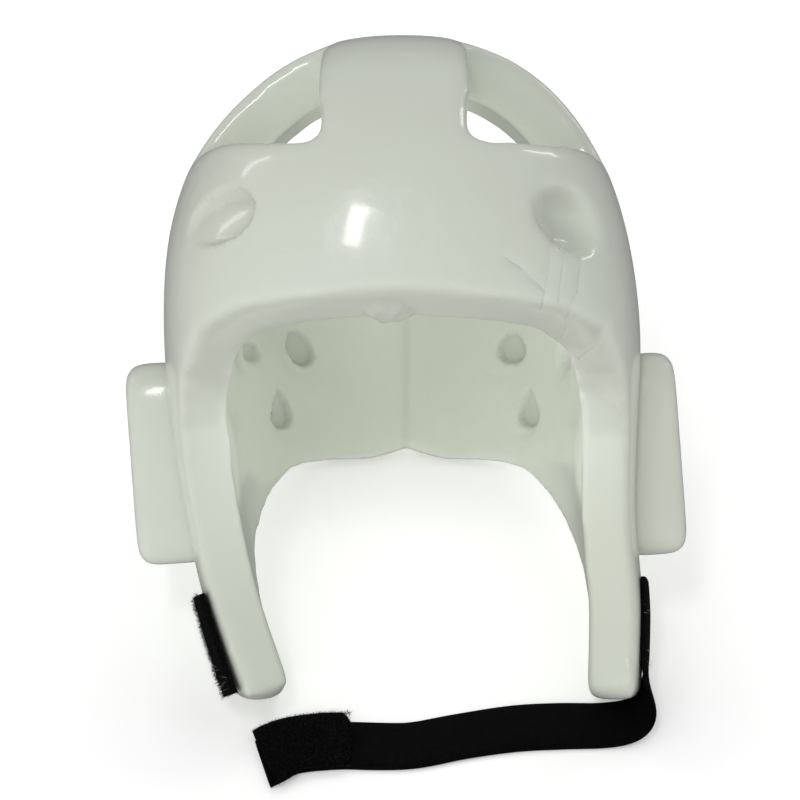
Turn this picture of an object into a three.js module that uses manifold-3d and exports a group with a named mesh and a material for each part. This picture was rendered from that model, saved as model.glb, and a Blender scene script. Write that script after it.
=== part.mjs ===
// Taekwondo headgear: one dipped foam shell with open crown and two cheek arms, two ear guards,
// a hook-and-loop patch and an elastic chin strap with its end pad. Millimetres, +Z up.
// The shell is drawn as it is worn (ear centre at the origin, face towards -Y), then leaned back
// until it stands on its two arm tips and its nape edge, as it does on a table.
import * as THREE from "three";
import { mergeVertices } from "three/addons/utils/BufferGeometryUtils.js";
import Module from "manifold-3d";

const wasm = await Module();
wasm.setup();

// Driving dimensions of the shell
const HALF_WIDTH = 91;
const CROWN_RISE = 163;
const JAW_DROP = 90;
const FRONT_REACH = 106;
const REAR_REACH = 112;
const FOAM = 19.5;
const ARM_SHIFT = 14;

// Bands, windows and edges of the shell
const CROWN_STRAP_WIDTH = 50;
const FRONT_OFFSET = -2.8;
const ARCH_WIDTH = 46;
const BROW_EDGE = 49;
const BROW_TOP = 112;
const ARM_FRONT = 54;
const TIP_FRONT = 64;
const ARM_DEPTH = 46;
const TIP_RISE = 6;
const NAPE_EDGE = -2;
const WINDOW_ROUND = 9;
const WINDOW_HUB = 62;
const HUB_RADIUS = 18;
const CUT_REACH = 210;

// Dents, vents and the ear opening
const DIMPLE = { width: 31, height: 23, depth: 9, back: 84, rise: 86, turn: 0.35 };
const VENT = { width: 16, height: 16, depth: 6 };
const EAR_HOLE = 30;

// Ear guards
const GUARD = { width: 66, height: 77, out: 15.5, round: 15, centre: 1, bevel: 5, lean: 0.075 };
const SEAT_GAP = 0.3;

// How far the soft edge flattens where it stands on the table
const PRESS = 1.2;

// Chin strap, end pad and loop patch
const STRAP = { width: 23, thickness: 2.2 };
const STRAP_SPAN = 100;
const SEWN = { top: -44, depth: -28, slope: 6, length: 30 };
const WALL_CURVE = 0.5;
const PAD = { width: 28, thickness: 2.4 };
const PATCH = { width: 26, thickness: 3.2, length: 36, top: -49, depth: -42, slope: 4 };

// Sections of the shell from the pole down to the jaw. Heights are shares of CROWN_RISE above the ear
// and of JAW_DROP below it, the other columns of HALF_WIDTH, FRONT_REACH, REAR_REACH and ARM_SHIFT.
const SECTIONS = [
  { rise: 1.0, half: 0.0, front: 0.0, rear: 0.0, shift: 0.0 },
  { rise: 0.965, half: 0.36, front: 0.4, rear: 0.4, shift: 0.0 },
  { rise: 0.87, half: 0.63, front: 0.68, rear: 0.68, shift: 0.0 },
  { rise: 0.72, half: 0.84, front: 0.88, rear: 0.88, shift: -0.1 },
  { rise: 0.53, half: 0.96, front: 0.98, rear: 0.985, shift: -0.1 },
  { rise: 0.3, half: 1.0, front: 1.0, rear: 1.0, shift: 0.0 },
  { rise: 0.05, half: 0.975, front: 0.975, rear: 0.95, shift: 0.08 },
  { rise: -0.25, half: 0.945, front: 0.95, rear: 0.88, shift: 0.25 },
  { rise: -0.6, half: 0.92, front: 0.93, rear: 0.82, shift: 0.6 },
  { rise: -1.0, half: 0.85, front: 0.9, rear: 0.76, shift: 1.0 },
];
const PLAN_POWER = 2.5;
const ROWS_PER_SECTION = 3;
const PLAN_STEPS = 56;

// Teardrop vents of the rear wall: place along the wall from the back, as a share of HALF_WIDTH,
// and height as a share of CROWN_RISE.
const VENTS = [
  { along: 0.62, rise: 0.115 },
  { along: 0.5, rise: 0.275 },
  { along: 0.86, rise: 0.275 },
];

// Side outline of the lower edge, from the nape forward to the arm tip: y as a share of REAR_REACH
// or of ARM_FRONT, and height as a share of JAW_DROP below NAPE_EDGE.
const LOWER_EDGE = [
  { y: 1.4 * REAR_REACH, drop: 0.0 },
  { y: 0.76 * REAR_REACH, drop: 0.0 },
  { y: 0.5 * REAR_REACH, drop: 0.16 },
  { y: 0.28 * REAR_REACH, drop: 0.36 },
  { y: 0.08 * REAR_REACH, drop: 0.55 },
  { y: ARM_DEPTH - TIP_FRONT + 8, drop: 0.74 },
  { y: ARM_DEPTH - TIP_FRONT, drop: 0.97 },
];

// The strap's route on the table from the arm tip to its free end: places as shares of STRAP_SPAN,
// lift above the table in millimetres, and turn from lying flat (0) to standing upright (1).
const STRAP_LAY = [
  { x: 0.97, ahead: 0.78, lift: 8.5, turn: 0.7 },
  { x: 0.93, ahead: 0.83, lift: 2.6, turn: 0.3 },
  { x: 0.84, ahead: 0.85, lift: 0.5, turn: 0.05 },
  { x: 0.7, ahead: 0.84, lift: 0.0, turn: 0.0 },
  { x: 0.51, ahead: 0.86, lift: 0.0, turn: 0.0 },
  { x: 0.355, ahead: 0.867, lift: 0.0, turn: 0.0 },
  { x: 0.14, ahead: 0.923, lift: 0.0, turn: 0.0 },
  { x: 0.005, ahead: 0.954, lift: 0.0, turn: 0.0 },
  { x: -0.125, ahead: 0.951, lift: 0.0, turn: 0.0 },
  { x: -0.25, ahead: 0.95, lift: 0.0, turn: 0.0 },
  { x: -0.42, ahead: 0.981, lift: 0.0, turn: 0.0 },
  { x: -0.508, ahead: 1.042, lift: 0.0, turn: 0.0 },
];

const COAT = { color: 0xdfe3d8, roughness: 0.22, metalness: 0.0 };
const WEBBING = { color: 0x0b0b0d, roughness: 0.9, metalness: 0.0 };
const LOOP_PILE = { color: 0x08080a, roughness: 1.0, metalness: 0.0 };

// Helpers for closed meshes and solids

const solidOf = (geometry) => {
  const bare = new THREE.BufferGeometry();
  bare.setAttribute("position", geometry.getAttribute("position"));
  if (geometry.index) bare.setIndex(geometry.index);
  const merged = mergeVertices(bare, 1e-3);
  return new wasm.Manifold(new wasm.Mesh({
    numProp: 3,
    vertProperties: merged.attributes.position.array,
    triVerts: new Uint32Array(merged.index.array),
  }));
};

const geometryOf = (solid) => {
  const mesh = solid.getMesh();
  const geometry = new THREE.BufferGeometry();
  const position = new Float32Array(mesh.numVert * 3);
  for (let i = 0; i < mesh.numVert; i++) {
    position.set(mesh.vertProperties.subarray(i * mesh.numProp, i * mesh.numProp + 3), i * 3);
  }
  geometry.setAttribute("position", new THREE.BufferAttribute(position, 3));
  geometry.setIndex(new THREE.BufferAttribute(new Uint32Array(mesh.triVerts), 1));
  return geometry;
};

// A closed loft through rings of equal length; the first and last rings are closed by a fan.
const loft = (rings) => {
  const count = rings[0].length;
  const points = rings.flat();
  const faces = [];
  for (let r = 0; r + 1 < rings.length; r++) {
    for (let i = 0; i < count; i++) {
      const a = r * count + i;
      const b = r * count + ((i + 1) % count);
      faces.push(a, b, a + count, b, b + count, a + count);
    }
  }
  const cap = (ring, start, flip) => {
    const middle = new THREE.Vector3();
    ring.forEach((p) => middle.addScaledVector(p, 1 / count));
    points.push(middle);
    for (let i = 0; i < count; i++) {
      const a = start + i;
      const b = start + ((i + 1) % count);
      faces.push(...(flip ? [b, a, points.length - 1] : [a, b, points.length - 1]));
    }
  };
  cap(rings[0], 0, true);
  cap(rings[rings.length - 1], (rings.length - 1) * count, false);
  const geometry = new THREE.BufferGeometry().setFromPoints(points);
  geometry.setIndex(faces);
  return geometry;
};

const outward = (geometry) => {
  const solid = solidOf(geometry);
  if (solid.volume() > 0) return solid;
  const index = geometry.index.array;
  for (let i = 0; i < index.length; i += 3) {
    [index[i], index[i + 1]] = [index[i + 1], index[i]];
  }
  return solidOf(geometry);
};

// Sections, read as one smooth curve

const heightOf = (row) => row.rise * (row.rise < 0 ? JAW_DROP : CROWN_RISE);
const mirrored = { ...SECTIONS[1], half: -SECTIONS[1].half, front: -SECTIONS[1].front, rear: -SECTIONS[1].rear };

// One section at a place t along the table, by a Catmull-Rom curve in each column.
const sectionAt = (t) => {
  const k = Math.min(Math.floor(t), SECTIONS.length - 2);
  const u = t - k;
  const rows = [k - 1, k, k + 1, k + 2].map((i) => (i < 0 ? mirrored : SECTIONS[Math.min(i, SECTIONS.length - 1)]));
  const weigh = (value) => {
    const [a, b, c, d] = rows.map(value);
    return 0.5 * (2 * b + (c - a) * u + (2 * a - 5 * b + 4 * c - d) * u * u + (3 * b - a - 3 * c + d) * u ** 3);
  };
  return {
    z: weigh(heightOf),
    half: HALF_WIDTH * weigh((r) => r.half),
    front: FRONT_REACH * weigh((r) => r.front),
    rear: REAR_REACH * weigh((r) => r.rear),
    shift: ARM_SHIFT * weigh((r) => r.shift),
  };
};

const STEPS = (SECTIONS.length - 1) * ROWS_PER_SECTION;
const TABLE = Array.from({ length: STEPS + 1 }, (_, i) => sectionAt(i / ROWS_PER_SECTION));

// The section at a height, for pieces that seat on the wall.
const sectionAtHeight = (z) => {
  const i = TABLE.findIndex((row, k) => k > 0 && row.z <= z);
  const [high, low] = [TABLE[i - 1], TABLE[i]];
  const u = (high.z - z) / (high.z - low.z);
  const mix = (key) => high[key] + (low[key] - high[key]) * u;
  return { half: mix("half"), front: mix("front"), rear: mix("rear"), shift: mix("shift") };
};

// The sideways shift at any height, also just past the ends of the table.
const shiftAt = (z) => {
  if (z >= TABLE[0].z) return 0;
  if (z <= TABLE[TABLE.length - 1].z) return ARM_SHIFT;
  return sectionAtHeight(z).shift;
};

const planPoint = (row, angle) => {
  const c = Math.cos(angle);
  const s = Math.sin(angle);
  const reach = s < 0 ? row.front : row.rear;
  const x = Math.sign(c) * Math.abs(c) ** (2 / PLAN_POWER) * row.half;
  const y = Math.sign(s) * Math.abs(s) ** (2 / PLAN_POWER) * reach;
  return new THREE.Vector3(row.shift + x, y, row.z);
};

// The dome grown outward by an offset, or shrunk where it is negative, along its own normals.
const dome = (offset) => {
  const turns = Array.from({ length: PLAN_STEPS }, (_, i) => (i / PLAN_STEPS) * 2 * Math.PI);
  const grid = TABLE.map((row) => turns.map((angle) => planPoint(row, angle)));
  const last = TABLE.length - 1;
  const rings = grid.map((ring, r) => ring.map((p, i) => {
    if (r === 0) return new THREE.Vector3(p.x, p.y, p.z + offset);
    const next = ring[(i + 1) % PLAN_STEPS];
    const before = ring[(i + PLAN_STEPS - 1) % PLAN_STEPS];
    const around = new THREE.Vector3().subVectors(next, before);
    const down = new THREE.Vector3().subVectors(grid[Math.min(r + 1, last)][i], grid[r - 1][i]);
    const normal = new THREE.Vector3().crossVectors(down, around).normalize();
    return p.clone().addScaledVector(normal, offset);
  }));
  const floor = rings[last].map((p) => new THREE.Vector3(p.x, p.y, p.z - FOAM));
  return outward(loft([...rings, floor]));
};

// A point on the outer wall at a side, a depth and a height, and the way out of the wall there.
const wallAt = (side, y, z) => {
  const row = sectionAtHeight(z);
  const reach = y < 0 ? row.front : row.rear;
  const x = side * row.half * (1 - Math.abs(y / reach) ** PLAN_POWER) ** (1 / PLAN_POWER);
  const out = new THREE.Vector3(
    side * Math.abs(x / row.half) ** (PLAN_POWER - 1) / row.half,
    Math.sign(y) * Math.abs(y / reach) ** (PLAN_POWER - 1) / reach, 0).normalize();
  return { point: new THREE.Vector3(row.shift + x, y, z), out };
};

// Cutters

// A prism of a side outline of (y, z) points, right through the shell along X.
const sidePrism = (points, fromX, toX) => {
  const shape = new THREE.Shape(points.map((p) => new THREE.Vector2(p.x, p.y)));
  const geometry = new THREE.ExtrudeGeometry(shape, { depth: toX - fromX, bevelEnabled: false });
  geometry.applyMatrix4(new THREE.Matrix4().makeBasis(
    new THREE.Vector3(0, 1, 0), new THREE.Vector3(0, 0, 1), new THREE.Vector3(1, 0, 0)));
  geometry.translate(fromX, 0, 0);
  return solidOf(geometry);
};

// A cutter whose outline is carried outward on rays: each outline point is { from, to }.
const rayCutter = (outline) => {
  const inner = outline.map((p) => p.from);
  const outer = outline.map((p) => p.to);
  return outward(loft([inner, outer]));
};

// Rays square to the Z axis, from the middle of the section at each height: the outline is in
// (angle from the face, height), with the angle turning to +X.
const levelRays = (outline, near, far) => rayCutter(outline.map(({ angle, z }) => {
  const way = new THREE.Vector3(Math.sin(angle), -Math.cos(angle), 0);
  const middle = new THREE.Vector3(shiftAt(z), 0, z);
  return {
    from: way.clone().multiplyScalar(near).add(middle),
    to: way.clone().multiplyScalar(far).add(middle),
  };
}));

// Rays from a hub inside the crown through points on the dome.
const hubRays = (points, hub) => rayCutter(points.map((p) => {
  const way = new THREE.Vector3().subVectors(p, hub).normalize();
  return { from: hub.clone().addScaledVector(way, HUB_RADIUS), to: hub.clone().addScaledVector(way, CUT_REACH) };
}));

// An outline of corner points with its corners rounded by arcs of a radius, as points.
const rounded = (corners, radius, steps = 4) => corners.flatMap((corner, i) => {
  const before = corners[(i + corners.length - 1) % corners.length];
  const after = corners[(i + 1) % corners.length];
  const start = corner.clone().add(before.clone().sub(corner).setLength(radius));
  const end = corner.clone().add(after.clone().sub(corner).setLength(radius));
  return Array.from({ length: steps + 1 }, (_, k) => {
    const t = k / steps;
    return start.clone().multiplyScalar((1 - t) ** 2)
      .add(corner.clone().multiplyScalar(2 * t * (1 - t)))
      .add(end.clone().multiplyScalar(t * t));
  });
});

// One crown window between the crown strap, the ear-to-ear arch and the brow or nape band.
const crownWindow = (side, end) => {
  const reach = end < 0 ? FRONT_REACH : REAR_REACH;
  const inner = FRONT_OFFSET + side * CROWN_STRAP_WIDTH / 2;
  const arch = end * ARCH_WIDTH / 2;
  const low = sectionAtHeight(BROW_TOP);
  const corners = [
    new THREE.Vector3(inner, end * reach * 0.87, BROW_TOP),
    new THREE.Vector3(side * low.half * 0.62, end * reach * 0.72, BROW_TOP),
    new THREE.Vector3(side * low.half * 0.98, arch * 1.15, BROW_TOP),
    new THREE.Vector3(side * low.half * 0.7, arch, BROW_TOP * 1.2),
    new THREE.Vector3(inner, arch, CROWN_RISE * 0.96),
  ];
  return hubRays(rounded(corners, WINDOW_ROUND), new THREE.Vector3(0, 0, WINDOW_HUB));
};

// Half outline of the face opening from the middle of the brow edge down to the arm tip. The angle
// is a share of the arm's own angle, and the height of BROW_EDGE, or of JAW_DROP below the ear.
const FACE_EDGE = [
  { angle: 0.0, rise: 1.03 },
  { angle: 0.3, rise: 1.0 },
  { angle: 0.55, rise: 0.95 },
  { angle: 0.73, rise: 0.8 },
  { angle: 0.87, rise: 0.52 },
  { angle: 0.97, rise: 0.15 },
  { angle: 1.0, rise: -0.25 },
  { angle: 0.98, rise: -0.6 },
  { angle: 0.9, rise: -1.0 },
  { angle: 0.82, rise: -1.5 },
];

const faceOpening = () => {
  const side = Math.atan2(HALF_WIDTH * 0.9, ARM_FRONT);
  const edge = FACE_EDGE.map((r) => new THREE.Vector2(
    r.angle * side, r.rise * (r.rise < 0 ? JAW_DROP : BROW_EDGE)));
  const half = new THREE.SplineCurve(edge).getPoints(26).map((p) => ({ angle: p.x, z: p.y }));
  const other = half.slice(1).reverse().map((p) => ({ angle: -p.angle, z: p.z }));
  return levelRays([...other, ...half], HUB_RADIUS / 3, CUT_REACH);
};

// Everything below the lower edge, from the nape to the arm tips.
const belowEdge = () => {
  const edge = LOWER_EDGE.map((r) => new THREE.Vector2(r.y, NAPE_EDGE - r.drop * JAW_DROP));
  const curve = new THREE.SplineCurve(edge).getPoints(24);
  const tip = curve[curve.length - 1];
  const outline = [
    ...curve,
    new THREE.Vector2(-TIP_FRONT - FOAM, tip.y + TIP_RISE),
    new THREE.Vector2(-CUT_REACH, tip.y + TIP_RISE),
    new THREE.Vector2(-CUT_REACH, -CUT_REACH),
    new THREE.Vector2(1.4 * REAR_REACH, -CUT_REACH),
  ];
  return sidePrism(outline, -CUT_REACH, CUT_REACH);
};

// A teardrop in the (angle, height) plane, its point up and turned outward.
const teardrop = (angle, z, width, height, radius) => Array.from({ length: 14 }, (_, i) => {
  const a = (i / 14) * 2 * Math.PI;
  const pinch = 0.5 - 0.5 * Math.sin(a);
  return {
    angle: angle + (Math.cos(a) * (width / 2) * (0.45 + 0.55 * pinch)) / radius,
    z: z + Math.sin(a) * height / 2,
  };
});

const vent = (side, row) => {
  const angle = Math.PI - side * Math.asin(row.along) * 0.95;
  const outline = teardrop(angle, row.rise * CROWN_RISE, VENT.width, VENT.height, HALF_WIDTH);
  return levelRays(outline, HUB_RADIUS, CUT_REACH).intersect(ventFloor);
};

// A blind dimple of the brow band, an oval bowl pressed in from outside.
const dimple = (side) => {
  const { point, out } = wallAt(side, -DIMPLE.back, DIMPLE.rise);
  const bowl = new THREE.SphereGeometry(1, 16, 10);
  bowl.scale(DIMPLE.width / 2, DIMPLE.depth, DIMPLE.height / 2);
  bowl.rotateY(side * DIMPLE.turn);
  bowl.rotateZ(Math.atan2(out.x, -out.y));
  bowl.translate(point.x + FRONT_OFFSET, point.y, point.z);
  return solidOf(bowl);
};

// The ear opening, square through wall and guard.
const earHole = (side) => {
  const row = sectionAtHeight(GUARD.centre);
  const hole = new THREE.CylinderGeometry(EAR_HOLE / 2, EAR_HOLE / 2, HALF_WIDTH, 24);
  hole.rotateZ(Math.PI / 2);
  hole.translate(row.shift + side * (row.half + GUARD.out), 0, GUARD.centre);
  return solidOf(hole);
};

const outer = dome(0);
const ventFloor = dome(VENT.depth - FOAM);
const inner = dome(-FOAM);

const shellSolid = () => {
  const cuts = [faceOpening(), belowEdge()];
  [-1, 1].forEach((side) => {
    cuts.push(crownWindow(side, -1), crownWindow(side, 1), dimple(side), earHole(side));
    VENTS.forEach((row) => cuts.push(vent(side, row)));
  });
  return cuts.reduce((solid, cut) => solid.subtract(cut), outer.subtract(inner));
};

// A rounded D-shaped pad whose inner face follows the shell.
const guardSolid = (side) => {
  const row = sectionAtHeight(GUARD.centre);
  const corners = [
    new THREE.Vector2(-GUARD.width / 2, -GUARD.height / 2),
    new THREE.Vector2(GUARD.width / 2, -GUARD.height / 2),
    new THREE.Vector2(GUARD.width / 2, GUARD.height / 2),
    new THREE.Vector2(-GUARD.width / 2, GUARD.height / 2),
  ];
  const shape = new THREE.Shape(rounded(corners, GUARD.round));
  const depth = GUARD.out + FOAM;
  const pad = new THREE.ExtrudeGeometry(shape, {
    depth: depth - GUARD.bevel,
    bevelThickness: GUARD.bevel,
    bevelSize: GUARD.bevel,
    bevelOffset: -GUARD.bevel,
    bevelSegments: 3,
  });
  pad.applyMatrix4(new THREE.Matrix4().makeBasis(
    new THREE.Vector3(0, 1, 0), new THREE.Vector3(0, 0, 1), new THREE.Vector3(1, 0, 0)));
  if (side < 0) pad.rotateZ(Math.PI);
  pad.rotateY(-GUARD.lean);
  const foot = row.half - FOAM;
  pad.translate(row.shift + side * foot, 0, GUARD.centre);
  return solidOf(pad).subtract(dome(SEAT_GAP)).subtract(earHole(side));
};

// The pose: a lean about X that brings the arm tips and the nape edge onto the table.
const shellWorn = shellSolid();
const shellPoints = geometryOf(shellWorn).getAttribute("position");

// The lowest height at a lean, of the arms in front of the ear or of the nape behind it.
const lowest = (lean, front) => {
  let least = Infinity;
  for (let i = 0; i < shellPoints.count; i++) {
    const y = shellPoints.getY(i);
    if (front === y < 0) least = Math.min(least, shellPoints.getZ(i) * Math.cos(lean) - y * Math.sin(lean));
  }
  return least;
};
const findLean = () => {
  let [low, high] = [0, Math.PI / 3];
  for (let i = 0; i < 40; i++) {
    const lean = (low + high) / 2;
    if (lowest(lean, true) < lowest(lean, false)) low = lean;
    else high = lean;
  }
  return (low + high) / 2;
};
const LEAN = findLean();
const GROUND = lowest(LEAN, true) + PRESS;

// The shell with its lowest edge flattened on the table.
const standing = () => {
  const table = new THREE.BoxGeometry(2 * CUT_REACH, 4 * CUT_REACH, CUT_REACH);
  table.translate(0, 0, GROUND - CUT_REACH / 2);
  table.rotateX(LEAN);
  return shellWorn.subtract(solidOf(table));
};

const leaned = (v) => v.clone().applyAxisAngle(new THREE.Vector3(1, 0, 0), -LEAN);
const onTable = (v) => leaned(v).add(new THREE.Vector3(0, 0, -GROUND));

// Straps and patches

// A flat band swept through stations { at, out, width, thickness }, out being its upper face.
const band = (stations) => {
  const last = stations.length - 1;
  const rings = stations.map(({ at, out, width, thickness }, i) => {
    const ahead = stations[Math.min(i + 1, last)].at;
    const behind = stations[Math.max(i - 1, 0)].at;
    const along = new THREE.Vector3().subVectors(ahead, behind).normalize();
    const up = out.clone().addScaledVector(along, -out.dot(along)).normalize();
    const across = new THREE.Vector3().crossVectors(along, up);
    return [[-1, -1], [1, -1], [1, 1], [-1, 1]].map(([a, b]) => at.clone()
      .addScaledVector(across, a * width / 2)
      .addScaledVector(up, b * thickness / 2));
  });
  return outward(loft(rings));
};

// Stations between a few chosen ones, along a smooth curve.
const smooth = (rows, steps) => {
  const path = new THREE.CatmullRomCurve3(rows.map((r) => r.at), false, "centripetal");
  return Array.from({ length: steps + 1 }, (_, i) => {
    const t = i / steps;
    const k = Math.min(Math.floor(t * (rows.length - 1)), rows.length - 2);
    const u = t * (rows.length - 1) - k;
    const mix = (key) => rows[k][key] + (rows[k + 1][key] - rows[k][key]) * u;
    return {
      at: path.getPoint(t),
      out: rows[k].out.clone().lerp(rows[k + 1].out, u).normalize(),
      width: mix("width"),
      thickness: mix("thickness"),
    };
  });
};

// Stations down the outside of an arm, in the table's frame.
const armStations = (side, size, count) => Array.from({ length: count + 1 }, (_, i) => {
  const z = size.top - (size.length * i) / count;
  const y = size.depth - (size.slope * i) / count;
  const { point, out } = wallAt(side, y, z);
  point.addScaledVector(out, size.thickness / 2 + SEAT_GAP + size.lift);
  return { at: onTable(point), out: leaned(out), width: size.width, thickness: size.thickness };
});

const down = new THREE.Vector3(0, 0, -1);
const layPoint = (row) => new THREE.Vector3(
  row.x * STRAP_SPAN, -row.ahead * STRAP_SPAN, STRAP.thickness / 2 + row.lift);

const strapSolid = () => {
  const sewn = armStations(1, { ...STRAP, ...SEWN, lift: WALL_CURVE }, 4);
  const laid = STRAP_LAY.map((row) => ({
    at: layPoint(row),
    out: down.clone().lerp(new THREE.Vector3(1, 0, 0), row.turn).normalize(),
    width: STRAP.width,
    thickness: STRAP.thickness,
  }));
  return band(smooth([...sewn, ...laid], 60));
};

const padSolid = () => {
  const rows = STRAP_LAY.slice(-4).map((row) => ({
    at: layPoint(row).add(new THREE.Vector3(0, 0, (STRAP.thickness + PAD.thickness) / 2 + SEAT_GAP)),
    out: down,
    width: PAD.width,
    thickness: PAD.thickness,
  }));
  return band(smooth(rows, 12));
};

const patchSolid = () => band(armStations(-1, { ...PATCH, lift: WALL_CURVE }, 6));

const headgear = new THREE.Group();
const worn = new THREE.Group();
worn.rotation.x = -LEAN;
worn.position.z = -GROUND;
headgear.add(worn);

const add = (parent, name, solid, finish) => {
  const mesh = new THREE.Mesh(geometryOf(solid), new THREE.MeshStandardMaterial(finish));
  mesh.name = name;
  parent.add(mesh);
};

add(worn, "shell", standing(), COAT);
add(worn, "ear_guard_left", guardSolid(-1), COAT);
add(worn, "ear_guard_right", guardSolid(1), COAT);
add(headgear, "chin_strap", strapSolid(), WEBBING);
add(headgear, "strap_end_pad", padSolid(), LOOP_PILE);
add(headgear, "loop_patch", patchSolid(), LOOP_PILE);

// The origin is at the middle of the footprint, on the table.
const stand = new THREE.Group();
stand.add(headgear);
const box = new THREE.Box3().setFromObject(stand, true);
const middle = box.getCenter(new THREE.Vector3());
headgear.position.set(-middle.x, -middle.y, -box.min.z);

export default stand;
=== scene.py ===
# Taekwondo headgear on a pale table: the foam bodies are softened copies of the solids, and the
# strap, its end pad and the loop patch are woven and fibrous pieces. Metres, +Z up, face to -Y.
import math

import bpy
import numpy as np
from mathutils import Matrix, Vector


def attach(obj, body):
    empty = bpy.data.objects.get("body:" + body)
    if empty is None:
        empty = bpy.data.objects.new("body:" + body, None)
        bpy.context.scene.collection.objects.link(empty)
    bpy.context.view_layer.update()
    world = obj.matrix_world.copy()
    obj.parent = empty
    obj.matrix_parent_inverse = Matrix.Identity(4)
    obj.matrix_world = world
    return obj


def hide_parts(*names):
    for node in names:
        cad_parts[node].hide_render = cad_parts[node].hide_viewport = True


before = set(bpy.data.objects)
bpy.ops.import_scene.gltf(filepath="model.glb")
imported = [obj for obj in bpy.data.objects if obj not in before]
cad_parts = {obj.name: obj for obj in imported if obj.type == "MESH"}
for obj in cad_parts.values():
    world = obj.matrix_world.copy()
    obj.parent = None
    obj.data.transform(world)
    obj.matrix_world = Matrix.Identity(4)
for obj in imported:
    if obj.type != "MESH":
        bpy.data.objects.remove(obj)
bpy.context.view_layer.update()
MM = 0.001

# The pose of the shell: its lean about X, and the ear centre that the lean turns about
LEAN = math.radians(35.82)
EAR = np.array([-0.00152, -0.01668, 0.06066])

# Camera: level with the worn headgear, in front of it
VIEW_DISTANCE = 0.75
VIEW_SHIFT = -0.00078
VIEW_RISE = 0.0234
FOCAL = 86.5
SENSOR = 36.0

# What the photo shows is charted in 800ths of the picture's width, from its top left
PICTURE = 800.0
SIGHT = PICTURE * FOCAL / SENSOR

# Softened foam bodies: the step of the skin and the passes that soften it, how deep the guards are
# sunk into the shell, and how far up a foot is stretched back down to the table
SHELL_VOXEL = 0.00174
SHELL_PASSES = 20
GUARD_VOXEL = 0.0012
GUARD_PASSES = 14
GUARD_SINK = 0.004
SETTLE_HEIGHT = 0.02

scene = bpy.context.scene


def camera_axes():
    """Right, up and forward of the camera, in the part's frame."""
    right = np.array([1.0, 0.0, 0.0])
    up = np.array([0.0, math.sin(LEAN), math.cos(LEAN)])
    forward = np.array([0.0, math.cos(LEAN), -math.sin(LEAN)])
    return right, up, forward


RIGHT, UP, FORWARD = camera_axes()
EYE = EAR - FORWARD * VIEW_DISTANCE + RIGHT * VIEW_SHIFT + UP * VIEW_RISE


def make_camera():
    data = bpy.data.cameras.new("camera")
    data.lens = FOCAL
    data.sensor_width = SENSOR
    data.clip_start = 0.01
    camera = bpy.data.objects.new("camera", data)
    scene.collection.objects.link(camera)
    turn = Matrix((Vector(RIGHT), Vector(UP), Vector(-FORWARD))).transposed()
    camera.matrix_world = Matrix.Translation(Vector(EYE)) @ turn.to_4x4()
    scene.camera = camera


make_camera()


# Shader sums written as Python expressions

class Sock:
    """A shader socket that can be added, multiplied and compared."""

    def __init__(self, tree, out):
        self.tree = tree
        self.out = out

    def math(self, kind, *others):
        node = self.tree.nodes.new("ShaderNodeMath")
        node.operation = kind
        for slot, value in zip(node.inputs, others):
            put(self.tree, slot, value)
        return Sock(self.tree, node.outputs[0])

    def __add__(self, other):
        return self.math("ADD", self, other)

    __radd__ = __add__

    def __mul__(self, other):
        return self.math("MULTIPLY", self, other)

    __rmul__ = __mul__

    def __sub__(self, other):
        return self.math("SUBTRACT", self, other)

    def __rsub__(self, other):
        return self.math("SUBTRACT", other, self)

    def __truediv__(self, other):
        return self.math("DIVIDE", self, other)

    def sin(self):
        return self.math("SINE", self)

    def exp(self):
        return self.math("EXPONENT", self)

    def abs(self):
        return self.math("ABSOLUTE", self)

    def ramp(self, low, high):
        """0 below low, 1 above high, smooth between."""
        node = self.tree.nodes.new("ShaderNodeMapRange")
        node.interpolation_type = "SMOOTHSTEP"
        for slot, value in zip(node.inputs, (self, low, high, 0.0, 1.0)):
            put(self.tree, slot, value)
        return Sock(self.tree, node.outputs[0])


def put(tree, slot, value):
    """Sets a socket to a value, or links another socket to it."""
    if isinstance(value, Sock):
        tree.links.new(value.out, slot)
    else:
        slot.default_value = value


class Finish:
    """A material with one Principled shader, and the nodes that feed it."""

    def __init__(self, name, **constants):
        self.material = bpy.data.materials.new(name)
        self.material.use_nodes = True
        self.tree = self.material.node_tree
        self.shader = self.tree.nodes["Principled BSDF"]
        for key, value in constants.items():
            self.shader.inputs[key.replace("_", " ")].default_value = value
        self.place = self.node("TexCoord").outputs["Object"]

    def node(self, kind, settings=None, **values):
        made = self.tree.nodes.new("ShaderNode" + kind)
        for key, value in (settings or {}).items():
            setattr(made, key, value)
        for key, value in values.items():
            put(self.tree, made.inputs[key.replace("_", " ")], value)
        return made

    def axes(self):
        parts = self.node("SeparateXYZ", Vector=Sock(self.tree, self.place))
        return [Sock(self.tree, out) for out in parts.outputs]

    def attribute(self, name):
        return Sock(self.tree, self.node("Attribute", {"attribute_name": name}).outputs["Fac"])

    def noise(self, scale, detail=3.0, rough=0.5, place=None):
        made = self.node("TexNoise", Vector=place or Sock(self.tree, self.place),
                         Scale=scale, Detail=detail, Roughness=rough)
        return Sock(self.tree, made.outputs["Fac"])

    def moved(self, by):
        """The place, moved along all three axes, for a second noise."""
        made = self.node("VectorMath", {"operation": "ADD"})
        put(self.tree, made.inputs[0], Sock(self.tree, self.place))
        put(self.tree, made.inputs[1], (by, by, by))
        return Sock(self.tree, made.outputs[0])

    def blend(self, factor, first, second):
        made = self.node("Mix", {"data_type": "RGBA"})
        put(self.tree, made.inputs[0], factor)
        put(self.tree, made.inputs[6], first)
        put(self.tree, made.inputs[7], second)
        return Sock(self.tree, made.outputs[2])

    def bump(self, height, distance):
        made = self.node("Bump", Height=height, Distance=distance)
        put(self.tree, self.shader.inputs["Normal"], Sock(self.tree, made.outputs["Normal"]))

    def feed(self, name, value):
        put(self.tree, self.shader.inputs[name], value)


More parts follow.
